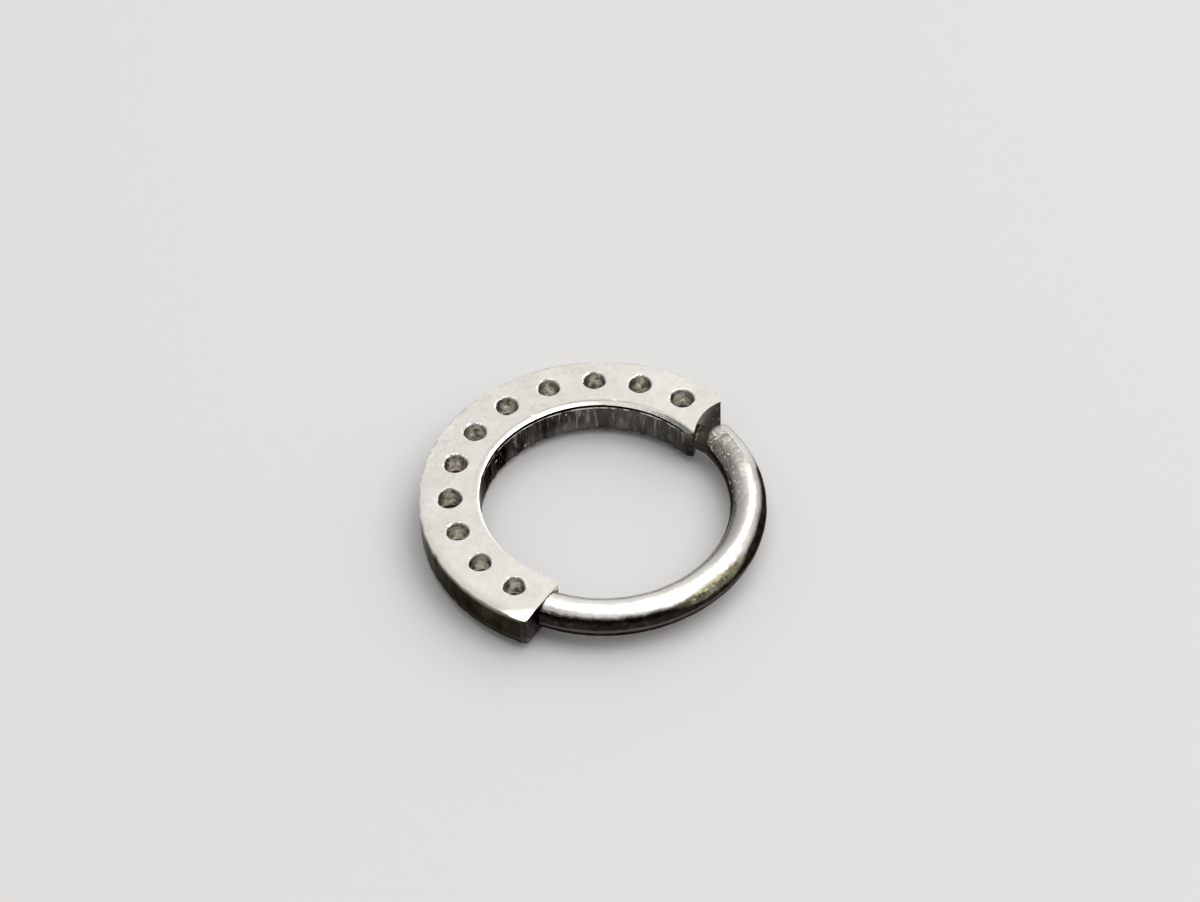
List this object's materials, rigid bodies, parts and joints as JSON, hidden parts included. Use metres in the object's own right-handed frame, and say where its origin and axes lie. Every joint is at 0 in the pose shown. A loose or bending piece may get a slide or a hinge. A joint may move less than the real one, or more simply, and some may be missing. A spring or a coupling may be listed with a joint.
{
  "type": "daith ring",
  "caption": "Hinged daith ring: a flat arc set with small round stones, closed by a round wire segment that swings open on a pin.",
  "frame": {"origin": "middle of the ring's footprint on the plane through the prong tips, on which the ring lies stone side down", "axes": "+Z along the ring's axis towards the bar's smooth back face, +Y towards the middle of the stone-set bar, +X towards its hinge end"},
  "size_m": [0.0122, 0.0118, 0.0016],
  "materials": {
    "satin_silver": "satin on the back face, polished on the walls",
    "polished_silver": "polished",
    "stone": "faceted and polished"
  },
  "bodies": {
    "bar": {"stone_bar": "satin_silver", "stone_01": "stone", "stone_02": "stone", "stone_03": "stone", "stone_04": "stone", "stone_05": "stone", "stone_06": "stone", "stone_07": "stone", "stone_08": "stone", "stone_09": "stone", "stone_10": "stone", "stone_11": "stone"},
    "segment": {"wire_segment": "polished_silver", "hinge_pin": "polished_silver"}
  },
  "joints": [
    {"name": "segment_hinge", "type": "hinge", "parent": "bar", "child": "segment", "pos_m": [0.00439, -0.00253, 0.00092], "axis": [0, 0, 1], "range_deg": [0, 90]}
  ]
}
